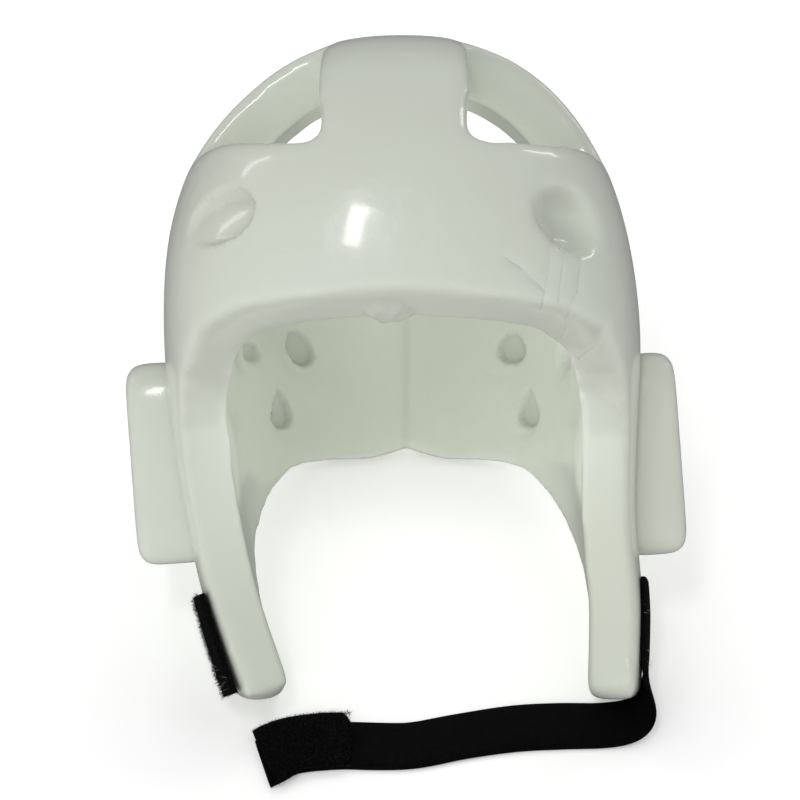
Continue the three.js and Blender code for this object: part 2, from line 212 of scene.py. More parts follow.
def rgb(red, green, blue):
    return (red, green, blue, 1.0)


COAT_LIGHT = rgb(0.675, 0.715, 0.635)
COAT_WARM = rgb(0.645, 0.67, 0.585)
# The dark tone that the coat's painted shade blends it towards
COAT_PAINTED_SHADE = rgb(0.36, 0.37, 0.32)

# Fine wrinkles of the coat, as the camera sees them, in 800ths of the picture
WRINKLES = [
    [(553, 238), (550, 262), (541, 310)],
    [(582, 256), (577, 292), (562, 338)],
    [(504, 257), (522, 268), (543, 288)],
    [(566, 246), (558, 300)],
    [(520, 329), (552, 338), (580, 358)],
    [(580, 358), (595, 348), (608, 325)],
    [(556, 361), (582, 371), (614, 371)],
    [(578, 391), (600, 396), (617, 408)],
]
WRINKLE_HALF = 1.5
WRINKLE_WOBBLE = 8.0


def wrinkled(coat):
    """How deep in a wrinkle each place of the front is, from 0 to 1."""
    def dot(way, around):
        rows = zip(coat.axes(), around, way)
        return sum(((axis - start) * share for axis, start, share in rows), 0.0)
    depth = dot(FORWARD, EYE)
    wobble = coat.noise(70.0, 3.0, 0.6)
    drift = coat.noise(55.0, 3.0, 0.6, coat.moved(0.3))
    x = dot(RIGHT, EYE) / depth * SIGHT + (PICTURE - WRINKLE_WOBBLE) / 2 + wobble * WRINKLE_WOBBLE
    y = (PICTURE + WRINKLE_WOBBLE) / 2 - dot(UP, EYE) / depth * SIGHT - drift * WRINKLE_WOBBLE
    deep = 0.0
    for way in WRINKLES:
        for (ax, ay), (bx, by) in zip(way[:-1], way[1:]):
            dx, dy = bx - ax, by - ay
            share = ((x - ax) * dx + (y - ay) * dy) * (1 / (dx * dx + dy * dy))
            share = share.math("MINIMUM", share.math("MAXIMUM", share, 0.0), 1.0)
            off_x = x - ax - share * dx
            off_y = y - ay - share * dy
            deep = deep + ((off_x * off_x + off_y * off_y) * (-1 / WRINKLE_HALF ** 2)).exp()
    broken = coat.noise(90.0, 2.0, 0.5, coat.moved(0.7)).ramp(0.35, 0.6)
    return deep * broken * coat.attribute("front")


# The coat: how strongly its painted shade darkens it, its roughness and how much that varies, the
# reliefs of its waves, skin, pits and wrinkles, and the height of a whole relief
PAINTED_SHADE_SHARE = 0.55
COAT_ROUGH, COAT_ROUGH_SPAN = 0.24, 0.12
WAVES, SKIN, PITS, WRINKLE_DEPTH = 0.9, 0.15, 0.02, 0.18
COAT_RELIEF = 0.0013


def make_coat():
    """Dipped vinyl: off-white, glossy, with the slow waves and fine dimples of a dipped skin."""
    coat = Finish("dipped_coat", Coat_Weight=0.6, Coat_Roughness=0.10, Specular_IOR_Level=0.4)
    cloud = coat.noise(9.0, 3.0)
    tone = coat.blend(cloud.ramp(0.38, 0.72), COAT_LIGHT, COAT_WARM)
    # Painted shade: the coat is darkened where the line attribute marks dents, the seam, down-facing
    # faces and feet
    tone = coat.blend(coat.attribute("line") * PAINTED_SHADE_SHARE, tone, COAT_PAINTED_SHADE)
    coat.feed("Base Color", tone)
    coat.feed("Roughness", COAT_ROUGH + COAT_ROUGH_SPAN * coat.noise(22.0, 3.0))
    height = coat.noise(30.0, 2.0) * WAVES + coat.noise(190.0, 2.0) * SKIN
    height = height + coat.noise(900.0, 1.0) * PITS - wrinkled(coat) * WRINKLE_DEPTH
    coat.bump(height, COAT_RELIEF)
    return coat.material


# Meshes in numpy

def points_of(mesh):
    flat = np.empty(len(mesh.vertices) * 3, dtype=np.float32)
    mesh.vertices.foreach_get("co", flat)
    return flat.reshape(-1, 3).astype(np.float64)


def normals_of(mesh):
    flat = np.empty(len(mesh.vertices) * 3, dtype=np.float32)
    mesh.vertices.foreach_get("normal", flat)
    return flat.reshape(-1, 3).astype(np.float64)


def move_points(mesh, points):
    mesh.vertices.foreach_set("co", points.astype(np.float32).ravel())
    mesh.update()


def mark(mesh, name, values):
    layer = mesh.attributes.new(name, "FLOAT", "POINT")
    layer.data.foreach_set("value", values.astype(np.float32))


def shade_smooth(mesh):
    for face in mesh.polygons:
        face.use_smooth = True


def spread(points, edges, passes):
    """Each point moves halfway to the middle of its neighbours, pass by pass."""
    count = len(points)
    a, b = edges[:, 0], edges[:, 1]
    degree = np.bincount(a, minlength=count) + np.bincount(b, minlength=count)
    for _ in range(passes):
        middle = np.empty_like(points)
        for k in range(points.shape[1]):
            total = np.bincount(a, points[b, k], count) + np.bincount(b, points[a, k], count)
            middle[:, k] = total / degree
        points = points + 0.5 * (middle - points)
    return points


def even_skin(body, voxel):
    """Remeshes a body with points at even steps."""
    remesh = body.modifiers.new("even skin", "REMESH")
    remesh.mode = "VOXEL"
    remesh.voxel_size = voxel
    remesh.use_smooth_shade = True
    depsgraph = bpy.context.evaluated_depsgraph_get()
    even = bpy.data.meshes.new_from_object(body.evaluated_get(depsgraph))
    body.modifiers.clear()
    body.data = even


def edges_of(mesh):
    flat = np.empty(len(mesh.edges) * 2, dtype=np.int32)
    mesh.edges.foreach_get("vertices", flat)
    return flat.reshape(-1, 2)


def softened(node, name, voxel, passes, shape):
    """A copy of a solid as one even, soft-edged skin. shape moves its points before the softening."""
    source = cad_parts[node]
    body = bpy.data.objects.new(name, source.data.copy())
    scene.collection.objects.link(body)
    body.matrix_world = source.matrix_world
    body.data.materials.clear()
    even_skin(body, voxel)
    move_points(body.data, shape(points_of(body.data), normals_of(body.data)))
    even_skin(body, voxel)
    mesh = body.data
    move_points(mesh, spread(points_of(mesh), edges_of(mesh), passes))
    shade_smooth(mesh)
    return body


def settle(points):
    """Brings the softened edges back down onto the table, at the two tips and at the nape."""
    front = points[:, 1] < 0
    for zone in (front & (points[:, 0] < 0), front & (points[:, 0] > 0), ~front):
        gap = points[zone, 2].min()
        near = np.clip(1 - (points[zone, 2] - gap) / SETTLE_HEIGHT, 0, 1) ** 2
        points[zone, 2] -= gap * near
    return points


def worn(points):
    """Points in the worn frame, about the ear centre: X, depth behind the ear, height."""
    away = points - EAR
    return np.stack([away @ RIGHT, away @ FORWARD, away @ UP], axis=1)


def sighted(points):
    """Where the camera sees each point, in 800ths of the picture, from its top left."""
    away = points - EYE
    depth = away @ FORWARD
    return PICTURE / 2 + SIGHT * (away @ RIGHT) / depth, PICTURE / 2 - SIGHT * (away @ UP) / depth


def off_line(x, y, corners):
    """Distance from each place to a line through corners, in 800ths of the picture."""
    best = np.full(len(x), np.inf)
    for (ax, ay), (bx, by) in zip(corners[:-1], corners[1:]):
        dx, dy = bx - ax, by - ay
        along = np.clip(((x - ax) * dx + (y - ay) * dy) / (dx * dx + dy * dy), 0, 1)
        best = np.minimum(best, np.hypot(x - ax - along * dx, y - ay - along * dy))
    return best


# Creases of the coat, as the camera sees them: corners, depth in millimetres, half width in 800ths
CREASES = [
    {"way": [(553, 240), (550, 268), (541, 308)], "depth": 0.45, "half": 5.0},
    {"way": [(582, 258), (577, 296), (563, 336)], "depth": 0.4, "half": 5.0},
    {"way": [(506, 259), (522, 268), (541, 285)], "depth": 0.6, "half": 4.5},
    {"way": [(522, 330), (552, 338), (580, 356), (607, 327)], "depth": 0.7, "half": 5.0},
    {"way": [(557, 362), (582, 372), (614, 372)], "depth": 0.4, "half": 5.0},
    {"way": [(580, 392), (600, 396), (616, 407)], "depth": 0.7, "half": 5.0},
]

# The rolled edge of the face opening: how high it climbs the outer wall, at shares of the way from
# the middle of the brow to the arm, and the height of the inner edge there, in millimetres
BROW_ROLL = {"share": [0.0, 0.3, 0.55, 0.75, 0.9, 1.0], "climb": [9.5, 8.5, 7.5, 7.0, 5.0, 0.0],
             "edge": [50.5, 49.0, 46.5, 39.5, 25.5, 8.0]}
ROLL_BELOW = 0.012
# The angle of the arms from straight ahead, the outline of the shell in plan, and the share of it
# that the wall takes up
ARM_ANGLE = 0.988
PLAN_HALF, PLAN_FRONT, PLAN_POWER = 0.091, 0.106, 2.5
WALL_SHARE = 0.195


def roll_brow(points):
    """Slants the edge face of the brow, so that its outer rim is higher than its inner one."""
    place = worn(points)
    share = np.abs(np.arctan2(place[:, 0], -place[:, 1])) / ARM_ANGLE
    reach = (np.abs(place[:, 0] / PLAN_HALF) ** PLAN_POWER
             + np.abs(place[:, 1] / PLAN_FRONT) ** PLAN_POWER) ** (1 / PLAN_POWER)
    outer = np.clip(1 - (1 - reach) / WALL_SHARE, 0, 1)
    climb = np.interp(share, BROW_ROLL["share"], BROW_ROLL["climb"]) * MM
    edge = np.interp(share, BROW_ROLL["share"], BROW_ROLL["edge"]) * MM
    want = edge + climb * outer
    low = (share < 1) & (place[:, 1] < 0) & (place[:, 2] < want) & (place[:, 2] > edge - ROLL_BELOW)
    lift = np.where(low, want - place[:, 2], 0)
    return points + UP * lift[:, None]


# The rolled ends of the arms: how high the zone is, the radius of the front roll, and the radius of
# the left tip's inner corner, in metres
TIP_ZONE, TIP_ROLL, TIP_CORNER = 0.022, 0.011, 0.012


def onto_arc(first, second, radius):
    """How far a point in the corner of two faces moves away from each, onto an arc."""
    in_first, in_second = radius - first, radius - second
    reach = np.hypot(in_first, in_second)
    corner = (in_first > 0) & (in_second > 0) & (reach > radius)
    share = np.where(corner, 1 - radius / np.maximum(reach, 1e-9), 0)
    return in_first * share, in_second * share


def roll_tips(points):
    """Rolls the front edge of both arm tips, and rounds the left tip's inner corner."""
    place = worn(points)
    for side in (-1, 1):
        arm = (place[:, 0] * side > 0.02) & (place[:, 1] < -0.02) & (place[:, 2] < -0.04)
        foot = np.percentile(place[arm, 2], 1)
        tip = arm & (place[:, 2] < foot + TIP_ZONE)
        turn = np.arctan2(place[:, 0] * side, -place[:, 1])
        face = np.percentile(turn[tip], 1)
        into = np.hypot(place[:, 0], place[:, 1]) * np.sin(turn - face)
        back, up = onto_arc(into, place[:, 2] - foot, TIP_ROLL)
        way = RIGHT * side * math.cos(face) + FORWARD * math.sin(face)
        points = points + tip[:, None] * (np.outer(back, way) + np.outer(up, UP))
        if side < 0:
            inner = np.percentile(place[tip, 0], 99)
            across, up = onto_arc(inner - place[:, 0], place[:, 2] - foot, TIP_CORNER)
            points = points + tip[:, None] * (np.outer(up, UP) - np.outer(across, RIGHT))
    return points


def shaped_shell(points, normals):
    """The shell with its brow and arm tips rolled. Like seated, it is given the normals too; they are
    not used.
    """
    return roll_tips(roll_brow(points))


# Pressed hollows, as the camera sees them: from the tip to the other end, half width, depth in
# millimetres, the radius in millimetres that is filled before it is pressed in, the share of its
# depth at the tip, and its width at even steps from the tip, as shares of the half width
DROP = [0.62, 0.86, 1.0, 1.0, 0.9]
TEAR = [0.2, 0.5, 0.78, 1.0, 0.95]
DIMPLES = [
    {"tip": (189, 242), "end": (250, 193), "half": 24,
     "depth": 8.0, "fill": 21, "start": 0.0, "wide": DROP},
    {"tip": (602, 242), "end": (535, 193), "half": 25,
     "depth": 8.0, "fill": 21, "start": 0.0, "wide": DROP},
]
DENTS = [
    {"tip": (279, 388), "end": (284, 430), "half": 12,
     "depth": 3.4, "fill": 12, "start": 0.6, "wide": TEAR},
    {"tip": (529, 387), "end": (528, 428), "half": 12,
     "depth": 3.4, "fill": 12, "start": 0.6, "wide": TEAR},
    {"tip": (291, 330), "end": (309, 366), "half": 13,
     "depth": 3.4, "fill": 12, "start": 0.7, "wide": DROP},
    {"tip": (513, 333), "end": (509, 364), "half": 15,
     "depth": 3.4, "fill": 12, "start": 0.7, "wide": DROP},
    {"tip": (247, 341), "end": (256, 362), "half": 9,
     "depth": 2.2, "fill": 11, "start": 0.7, "wide": DROP},
]
# How square a hollow's outline is, and the share of its reach that its slope takes up
SQUARENESS = 2.4
BRIM = 0.2


def pressed(x, y, row):
    """How deep each place is in a pressed hollow, as a share of its depth."""
    (ax, ay), (bx, by) = row["tip"], row["end"]
    length = math.hypot(bx - ax, by - ay)
    way_x, way_y = (bx - ax) / length, (by - ay) / length
    along = ((x - ax) * way_x + (y - ay) * way_y) / length
    across = ((y - ay) * way_x - (x - ax) * way_y) / row["half"]
    wide = np.interp(along, [0.0, 0.25, 0.5, 0.75, 1.0], row["wide"])
    reach = (np.abs(2 * along - 1) ** SQUARENESS
             + np.abs(across / wide) ** SQUARENESS) ** (1 / SQUARENESS)
    wall = np.clip((1.0 - reach) / BRIM, 0, 1)
    wall = wall * wall * (3 - 2 * wall)
    return wall * (row["start"] + (1 - row["start"]) * np.clip(along * 1.15, 0, 1))


# How far from the fitted wall a point may lie to count as wall, and the thickness that is looked at
FIT_SLACK = 0.0006
FIT_DEPTH = 0.014


def press_in(points, normals, zone, row):
    """Fills what lies in a hollow's place with the wall around it, then presses the hollow in."""
    x, y = sighted(points)
    mid_x, mid_y = (row["tip"][0] + row["end"][0]) / 2, (row["tip"][1] + row["end"][1]) / 2
    middle = points[np.argmin(np.where(zone, np.hypot(x - mid_x, y - mid_y), np.inf))]
    fill = row["fill"] * MM
    away = np.linalg.norm(points - middle, axis=1)
    way = normals[zone & (away > fill) & (away < fill * 1.4)].mean(axis=0)
    way /= np.linalg.norm(way)
    first = np.cross(way, UP)
    first /= np.linalg.norm(first)
    second = np.cross(way, first)
    local = points - middle
    u, v, w = local @ first / fill, local @ second / fill, local @ way
    terms = np.stack([np.ones(len(u)), u, v, u * u, u * v, v * v, u ** 3, v ** 3], axis=1)
    reach = np.hypot(u, v)
    wall = zone & (reach < 1.6) & (np.abs(w) < FIT_DEPTH) & (normals @ way > 0.2)
    rim = wall & (reach > 1.02) & (normals @ way > 0.78)
    fit = np.zeros(terms.shape[1])
    for _ in range(3):
        fit = np.linalg.lstsq(terms[rim], w[rim], rcond=None)[0]
        rim = rim & (np.abs(terms @ fit - w) < FIT_SLACK)
    keep = np.clip((reach - 0.9) / 0.18, 0, 1)
    well = wall & (reach < 1.08)
    height = (terms @ fit) * (1 - keep) + w * keep
    made = points.copy()
    level = middle + np.outer(u * fill, first) + np.outer(v * fill, second) + np.outer(height, way)
    made[well] = level[well]
    x, y = sighted(made)
    depth = np.where(well, pressed(x, y, row), 0)
    return made - np.outer(depth * row["depth"] * MM, way), depth


# The lump of coat on the brow's edge, the point of the nape's edge, and the seam in the nape's inside,
# as the camera sees them in 800ths of the picture. Rises and depths are in millimetres.
LUMP = {"x": 389, "y": 311, "half": 23, "tall": 9, "slope": 0.06, "rise": 3.8}
POINT = {"x": 406, "half": 42, "power": 1.4, "rise": 4.6, "fade": 0.012}
SEAM = {"x": 406, "half": 3.5, "top": 318, "foot": 470, "depth": 0.4}

# Worn depths in front of which a point is in the front wall, and behind which in the rear wall, and
# the most that a point pressed in there may look away from the camera
FRONT_WALL, REAR_WALL = -0.02, 0.02
LOOKS_AWAY = 0.2

# How much painted shade darkens the dents, the seam, the faces that look down and the feet, and how
# high a foot is
DENT_SHADE, SEAM_SHADE, UNDER_SHADE, FOOT_SHADE = 0.75, 0.35, 0.95, 0.8
FOOT_HEIGHT = 0.015


def lumped(x, y, place):
    """How much of the lump each place has, from 0 to 1."""
    across = (x - LUMP["x"]) / LUMP["half"]
    down = (y - LUMP["y"] - (x - LUMP["x"]) * LUMP["slope"]) / LUMP["tall"]
    lump = np.sqrt(np.clip(1 - across ** 2 - down ** 2, 0, 1))
    lump = lump * (place[:, 1] < -0.07) * (place[:, 1] > -0.112)
    return lump * (0.75 + 0.25 * np.sin(x * 0.35) * np.sin(y * 0.4))


def pointed(x, place):
    """How much of the nape's point each place has, from 0 to 1."""
    across = np.clip(1 - np.abs(x - POINT["x"]) / POINT["half"], 0, 1) ** POINT["power"]
    return across * (place[:, 1] > 0.04) * np.exp(-np.clip(place[:, 2], 0, 1) / POINT["fade"])


def make_shell(coat):
    body = softened("shell", "foam_shell", SHELL_VOXEL, SHELL_PASSES, shaped_shell)
    mesh = body.data
    points = settle(points_of(mesh))
    normals = normals_of(mesh)
    place = worn(points)
    facing = np.clip(-(normals @ FORWARD) * 3, 0, 1)
    front = (place[:, 1] < FRONT_WALL) * facing
    outside = (place[:, 1] < FRONT_WALL) & (normals @ FORWARD < LOOKS_AWAY)
    inside = (place[:, 1] > REAR_WALL) & (normals @ FORWARD < LOOKS_AWAY)
    # line carries painted shade: darker in the pressed dents, along the seam, on faces that look down
    # and near the table
    line = np.zeros(len(points))
    for row in DIMPLES:
        points, _ = press_in(points, normals, outside, row)
    for row in DENTS:
        points, deep = press_in(points, normals, inside, row)
        # Painted shade inside each dent, as deep as the dent is pressed
        line += DENT_SHADE * deep
    x, y = sighted(points)
    push = LUMP["rise"] * MM * lumped(x, y, place)
    for crease in CREASES:
        share = np.exp(-(off_line(x, y, crease["way"]) / crease["half"]) ** 2) * front
        push -= crease["depth"] * MM * share
    points = points + np.outer(POINT["rise"] * MM * pointed(x, place), UP)
    seam = np.exp(-((x - SEAM["x"]) / SEAM["half"]) ** 2) * inside * facing
    seam = seam * (y > SEAM["top"]) * (y < SEAM["foot"])
    push -= SEAM["depth"] * MM * seam
    # Painted shade along the seam's groove
    line += SEAM_SHADE * seam
    # Painted shade on faces that look down, such as under the brow's rolled edge, and on the feet near
    # the table
    line += UNDER_SHADE * np.clip((-normals @ UP - 0.2) / 0.5, 0, 1) * (place[:, 1] < -0.03)
    line += FOOT_SHADE * np.clip(1 - points[:, 2] / FOOT_HEIGHT, 0, 1) * (points[:, 1] < 0)
    move_points(mesh, points + normals * push[:, None])
    mark(mesh, "line", line)
    mark(mesh, "front", front)
    mesh.materials.append(coat)
    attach(body, "root")
    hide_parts("shell")


def seated(points, normals):
    """Sinks the inner face of a guard a little into the wall that it is glued to."""
    way = np.sign(points[:, 0].mean())
    inner = np.clip((-normals[:, 0] * way - 0.3) / 0.3, 0, 1)
    return points - np.outer(inner * way * GUARD_SINK, RIGHT)


def make_guard(side, coat):
    body = softened("ear_guard_" + side, "foam_guard_" + side, GUARD_VOXEL, GUARD_PASSES, seated)
    for name in ("line", "front"):
        mark(body.data, name, np.zeros(len(body.data.vertices)))
    body.data.materials.append(coat)
    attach(body, "root")
    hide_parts("ear_guard_" + side)


# Straps and tapes. Stations along the strap: place in millimetres, and the way its face looks.
STRAP_WIDTH = 0.023
STRAP_THICKNESS = 0.0020
STRAP_WAY = [
    {"at": (89.6, -65.3, 41.5), "out": (0.97, -0.20, 0.06)},
    {"at": (89.8, -71.3, 36.0), "out": (0.97, -0.22, 0.06)},
    {"at": (89.6, -77.3, 30.4), "out": (0.97, -0.23, 0.06)},
    {"at": (89.2, -83.3, 24.9), "out": (0.97, -0.23, 0.05)},
    {"at": (89.3, -89.5, 17.0), "out": (0.97, -0.20, -0.05)},
    {"at": (89.7, -94.4, 8.6), "out": (0.90, -0.08, -0.42)},
    {"at": (85.2, -99.0, 2.7), "out": (0.34, 0.00, -0.94)},
    {"at": (75.0, -101.2, 1.2), "out": (0.03, 0.00, -1.00)},
    {"at": (58.4, -101.6, 1.1), "out": (0.00, 0.00, -1.00)},
    {"at": (40.3, -102.9, 1.1), "out": (0.00, 0.00, -1.00)},
    {"at": (19.4, -107.1, 1.1), "out": (0.00, 0.00, -1.00)},
    {"at": (2.5, -111.5, 1.1), "out": (0.00, 0.00, -1.00)},
    {"at": (-11.4, -111.9, 1.1), "out": (0.00, 0.00, -1.00)},
    {"at": (-24.8, -111.6, 1.1), "out": (0.00, 0.00, -1.00)},
    {"at": (-42.6, -114.4, 1.1), "out": (0.00, 0.00, -1.00)},
    {"at": (-52.3, -120.9, 1.1), "out": (0.00, 0.00, -1.00)},
]
TABLE_GAP = 0.00005
# How far the slanted free end reaches back along the strap, how much it slants, and the smoothing
# passes that ease the strap's folds
SKEW_RUN = 0.022
END_SKEW = 0.0036
FOLD_EASE = 70
PAD_WIDTH = 0.027
PAD_THICKNESS = 0.0022
PAD_WAY = [
    {"at": (-20.5, -110.3, 2.9), "out": (0, 0, -1)},
    {"at": (-31.0, -110.6, 3.1), "out": (0, 0, -1)},
    {"at": (-43.0, -113.4, 3.2), "out": (0, 0, -1)},
    {"at": (-51.6, -119.7, 3.2), "out": (0, 0, -1)},
]
PATCH_WIDTH = 0.023
PATCH_THICKNESS = 0.0024
PATCH_WAY = [
    {"at": (-76.7, -77.1, 43.9), "out": (-0.97, -0.18, 0.13)},
    {"at": (-73.0, -85.2, 34.9), "out": (-0.97, -0.19, 0.14)},
    {"at": (-68.9, -93.4, 26.0), "out": (-0.97, -0.20, 0.15)},
    {"at": (-64.5, -101.5, 17.1), "out": (-0.96, -0.21, 0.16)},
]


def curve_through(values, count):
    """Values at even steps along a smooth curve through the given rows."""
    rows = np.array(values, dtype=float)
    rows = np.vstack([2 * rows[0] - rows[1], rows, 2 * rows[-1] - rows[-2]])
    made = []
    for t in np.linspace(0, len(values) - 1, count):
        k = min(int(t), len(values) - 2)
        u = t - k
        a, b, c, d = rows[k:k + 4]
        square = 2 * a - 5 * b + 4 * c - d
        cube = 3 * b - a - 3 * c + d
        made.append(0.5 * (2 * b + (c - a) * u + square * u ** 2 + cube * u ** 3))
    return np.array(made)


def even_stations(way, count):
    """Places, lengths, along, across and outward directions at even lengths along a strap."""
    fine = curve_through([row["at"] for row in way], 600) * MM
    outs = curve_through([row["out"] for row in way], 600)
    run = np.concatenate([[0], np.cumsum(np.linalg.norm(np.diff(fine, axis=0), axis=1))])
    want = np.linspace(0, run[-1], count)
    at = np.stack([np.interp(want, run, fine[:, k]) for k in range(3)], axis=1)
    out = np.stack([np.interp(want, run, outs[:, k]) for k in range(3)], axis=1)
    along = np.gradient(at, axis=0)
    along /= np.linalg.norm(along, axis=1, keepdims=True)
    out -= along * np.sum(out * along, axis=1, keepdims=True)
    out /= np.linalg.norm(out, axis=1, keepdims=True)
    return at, want, along, np.cross(along, out), out


def add_mesh(name, points, faces, material):
    mesh = bpy.data.meshes.new(name)
    mesh.from_pydata([tuple(p) for p in points], [], [tuple(f) for f in faces])
    mesh.update()
    shade_smooth(mesh)
    mesh.materials.append(material)
    body = bpy.data.objects.new(name, mesh)
    scene.collection.objects.link(body)
    return body


def flat_face(length, share):
    return 0.0


def tape(name, way, width, thickness, material, steps, relief=flat_face, lines=24, skew=0.0,
         corner=0.0, ease=0):
    """A flat woven tape with rounded edges. relief(length, share across) raises its two faces.
    skew slants its far end, corner rounds off the corners of its near end, and ease smooths the
    folds, pass by pass."""
    at, length, along, across, out = even_stations(way, steps)
    slant = skew * np.clip(1 - (length[-1] - length) / SKEW_RUN, 0, 1)
    pinch = 1 - 0.35 * np.clip(1 - length / corner, 0, 1) ** 2 if corner else np.ones(steps)
    share = np.linspace(-1, 1, lines)
    reach = across * pinch[:, None] * width / 2 + along * slant[:, None]
    middle = at[:, None, :] + reach[:, None, :] * share[None, :, None]
    for _ in range(ease):
        middle[1:-1] = (middle[:-2] + 2 * middle[1:-1] + middle[2:]) / 4
    middle[:, :, 2] = np.maximum(middle[:, :, 2], thickness / 2 + TABLE_GAP)
    upward = np.cross(np.gradient(middle, axis=0), np.gradient(middle, axis=1))
    upward *= np.sign(np.sum(upward * out[:, None, :], axis=2, keepdims=True))
    upward /= np.maximum(np.linalg.norm(upward, axis=2, keepdims=True), 1e-12)
    half = thickness / 2 * (1 - np.abs(share) ** 8 * 0.7)
    points, lay = [], []
    for i in range(steps):
        for face in (1, -1):
            for k in (range(lines) if face > 0 else range(lines - 1, -1, -1)):
                lift = face * (half[k] + relief(length[i], share[k]))
                points.append(middle[i, k] + upward[i, k] * lift)
                lay.append((length[i], share[k]))
    ring = 2 * lines
    faces = []
    for i in range(steps - 1):
        for k in range(ring):
            a, b = i * ring + k, i * ring + (k + 1) % ring
            faces.append((a, a + ring, b + ring, b))
    for start, flip in ((0, False), ((steps - 1) * ring, True)):
        for k in range(lines - 1):
            quad = (start + k, start + k + 1, start + ring - 2 - k, start + ring - 1 - k)
            faces.append(quad[::-1] if flip else quad)
    body = add_mesh(name, points, faces, material)
    mark(body.data, "run", np.array([row[0] for row in lay]))
    mark(body.data, "side", np.array([row[1] for row in lay]))
    return body


# The elastic's ribs, in radians over half its width, and its weft, in radians a metre
RIBS = 62.0
WEFT = 4200.0
ELASTIC_DARK, ELASTIC_PALE = rgb(0.0006, 0.0006, 0.0012), rgb(0.0026, 0.0027, 0.0040)
PILE_DARK, PILE_PALE = rgb(0.001, 0.001, 0.0015), rgb(0.0032, 0.0032, 0.00368)


def make_elastic():
    """Black woven elastic: fine ribs along it, and the courses of the weft across."""
    cloth = Finish("woven_elastic", Roughness=0.85, Specular_IOR_Level=0.12)
    run, side = cloth.attribute("run"), cloth.attribute("side")
    ribs = (side * RIBS).sin().abs()
    weft = (run * WEFT + (side * RIBS).sin() * 1.2).sin() * 0.5 + 0.5
    fuzz = cloth.noise(1400.0, 2.0)
    shade = (ribs * 0.6 + weft * 0.25 + fuzz * 0.5).ramp(0.2, 1.3)
    cloth.feed("Base Color", cloth.blend(shade, ELASTIC_DARK, ELASTIC_PALE))
    cloth.bump(ribs * 0.7 + weft * 0.3 + fuzz * 0.2, 0.0004)
    return cloth.material


def make_pile(name):
    """Black hook or loop tape: a rough, dull pile."""
    cloth = Finish(name, Roughness=0.92, Specular_IOR_Level=0.1)
    grain = cloth.noise(1100.0, 3.0, 0.7)
    clump = cloth.noise(320.0, 2.0)
    shade = (grain * 0.7 + clump * 0.5).ramp(0.35, 0.85)
    cloth.feed("Base Color", cloth.blend(shade, PILE_DARK, PILE_PALE))
    cloth.bump(grain + clump * 0.6, 0.0008)
    return cloth.material


def make_thread(name, tone):
    return Finish(name, Base_Color=tone, Roughness=0.7).material


# Fibres: the stations that they start from, the share of them at an edge, the three sides of a
# strand, and how thin it is
STATIONS = 200
EDGE_SHARE = 0.35
STRAND_SIDES = (0.0, 2.094, 4.189)
STRAND_THIN, STRAND_THICK = 0.00005, 0.00009
STRAND_CLEAR = 0.0002


def fibres(name, way, width, thickness, material, count, reach, seed, skew=0.0):
    """Short bent fibres over a tape's face and edges, as thin three-sided strands."""
    chance = np.random.default_rng(seed)
    at, length, along, across, out = even_stations(way, STATIONS)
    slant = skew * np.clip(1 - (length[-1] - length) / SKEW_RUN, 0, 1)
    up = np.where(out[:, 2:3] < -0.5, -out, out)
    points, faces = [], []
    for _ in range(count):
        i = int(chance.integers(0, STATIONS))
        share = chance.uniform(-1, 1)
        edge = chance.random() < EDGE_SHARE
        if edge:
            share = math.copysign(1.0, share)
        root = at[i] + across[i] * share * width / 2 * 0.97 + along[i] * slant[i] * share
        root = root + up[i] * thickness / 2 * (chance.uniform(-0.6, 0.6) if edge else 0.9)
        lean = across[i] * (share if edge else chance.normal(0, 0.5)) + up[i] * (0.3 if edge else 1.0)
        lean = lean + along[i] * chance.normal(0, 0.6)
        if i in (0, STATIONS - 1):
            lean = lean + along[i] * (1 if i else -1)
        lean = lean / np.linalg.norm(lean)
        bend = chance.normal(0, 0.55, 3)
        long = reach * chance.uniform(0.4, 1.0)
        thick = chance.uniform(STRAND_THIN, STRAND_THICK)
        side = np.cross(lean, chance.normal(0, 1, 3))
        side /= np.linalg.norm(side)
        other = np.cross(lean, side)
        start = len(points)
        for k, t in enumerate((0.0, 0.5, 1.0)):
            spot = root + lean * long * t + bend * long * 0.45 * t * t
            spot[2] = max(spot[2], STRAND_CLEAR)
            for turn in STRAND_SIDES:
                rim = (side * math.cos(turn) + other * math.sin(turn)) * thick * (1 - 0.6 * t)
                points.append(spot + rim)
        for k in (0, 3):
            for j in range(3):
                a, b = start + k + j, start + k + (j + 1) % 3
                faces.append((a, b, b + 3, a + 3))
    return add_mesh(name, points, faces, material)


def make_threads(pale):
    """Loose ends of pale sewing thread at the foot of the patch and beside the sewn strap."""
    made = []
    for name, way, width, seed in (("patch_threads", PATCH_WAY[2:], PATCH_WIDTH, 3),
                                   ("strap_threads", STRAP_WAY[1:5], STRAP_WIDTH, 5)):
        threads = fibres(name, way, width, STRAP_THICKNESS * 1.5, pale, 9, 0.0032, seed)
        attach(threads, "root")
        made.append(threads)
    return made


# The height of the elastic's ribs and of the slow waves in its edges, and how often these come, in
# radians a metre
RIB_RISE = 0.00006
EDGE_WAVE, EDGE_WAVES = 0.00025, 90.0


def make_strap(elastic):
    def relief(length, share):
        rib = RIB_RISE * abs(math.sin(share * RIBS / 2))
        return rib + EDGE_WAVE * math.sin(length * EDGE_WAVES) * abs(share) ** 3
    body = tape("elastic_strap", STRAP_WAY, STRAP_WIDTH, STRAP_THICKNESS, elastic, 420, relief,
                lines=48, skew=END_SKEW, ease=FOLD_EASE)
    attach(body, "root")
    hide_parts("chin_strap")
    return body


def make_pad(pile, strand):
    body = tape("strap_hook_pad", PAD_WAY, PAD_WIDTH, PAD_THICKNESS, pile, 90, skew=END_SKEW,
                corner=0.004)
    fur = fibres("hook_pad_fibres", PAD_WAY, PAD_WIDTH, PAD_THICKNESS, strand, 2600, 0.0013, 4,
                 END_SKEW)
    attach(body, "root")
    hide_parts("strap_end_pad")
    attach(fur, "root")
    return body, fur


